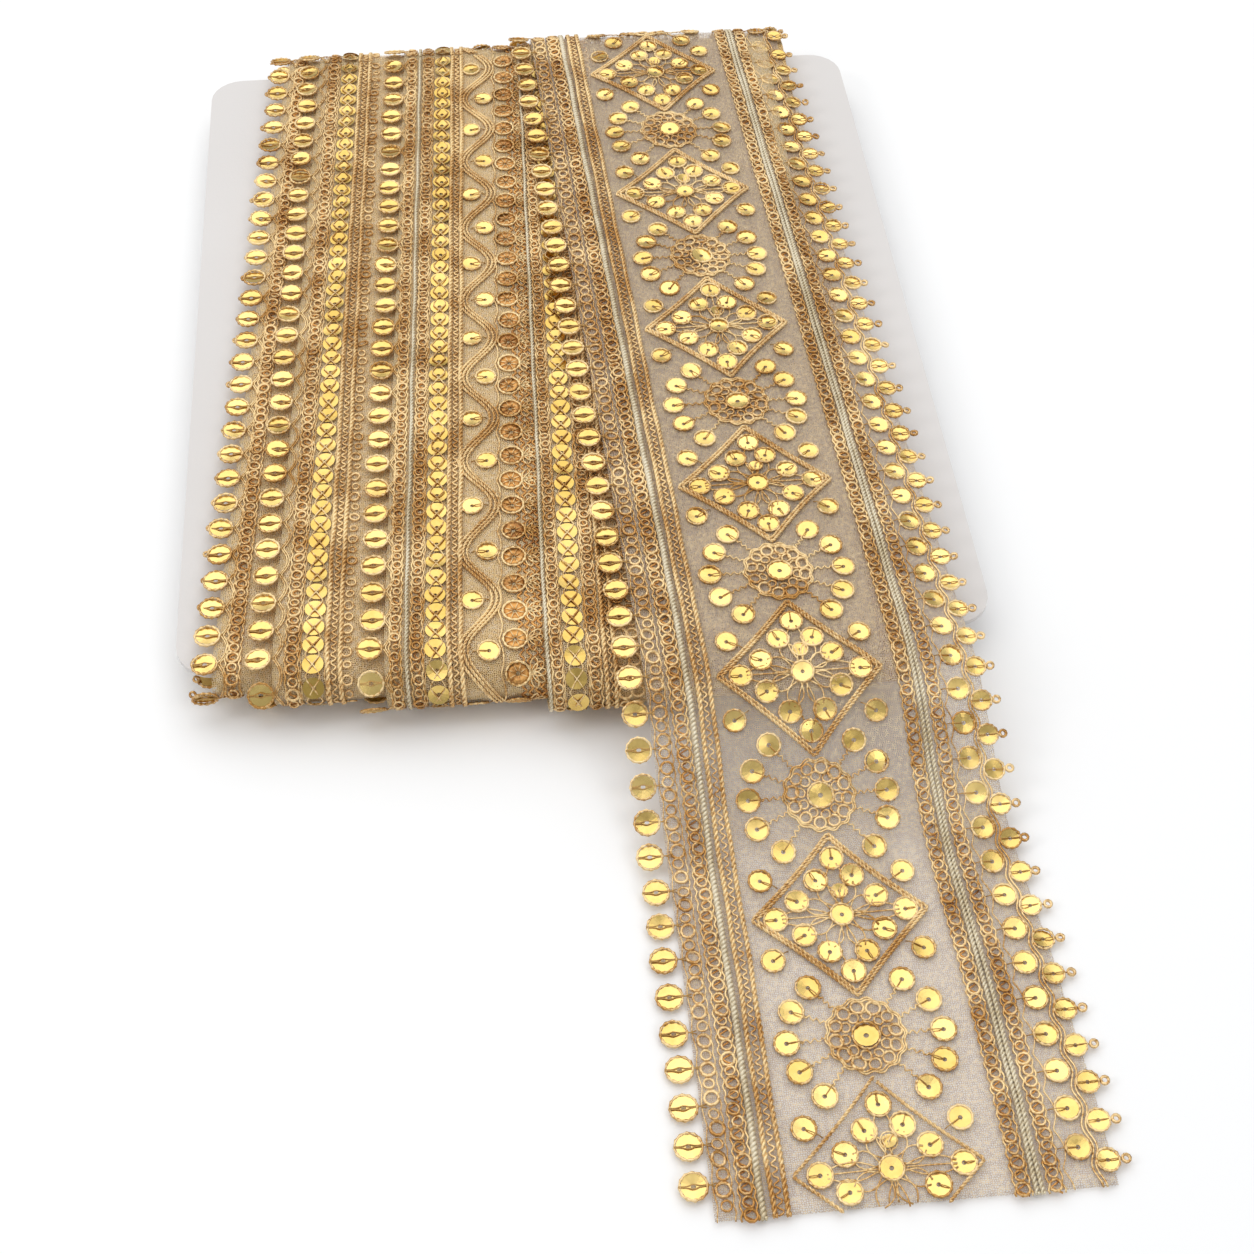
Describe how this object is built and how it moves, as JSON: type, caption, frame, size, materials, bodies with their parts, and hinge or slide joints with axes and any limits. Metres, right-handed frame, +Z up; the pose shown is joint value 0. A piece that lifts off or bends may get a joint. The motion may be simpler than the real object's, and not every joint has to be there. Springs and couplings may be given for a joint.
{
  "type": "sequin trim wound on a card",
  "caption": "Scalloped gold sequin lace wound in overlapping flat turns on a stiff card, its free end coming down to the table and lying flat.",
  "frame": {"origin": "on the table, at the flat underside of the winding, under the middle of the card", "axes": "+X across the card towards the loose end's side, +Y along the card away from the cut end, +Z up"},
  "size_m": [0.17, 0.329, 0.0178],
  "materials": {
    "card_board": "matt white paper board",
    "gold_lace": "sheer net with gold thread and shiny gold sequins"
  },
  "bodies": {
    "root": {"card": "card_board", "wound_turns": "gold_lace", "loose_end": "gold_lace"}
  },
  "joints": []
}
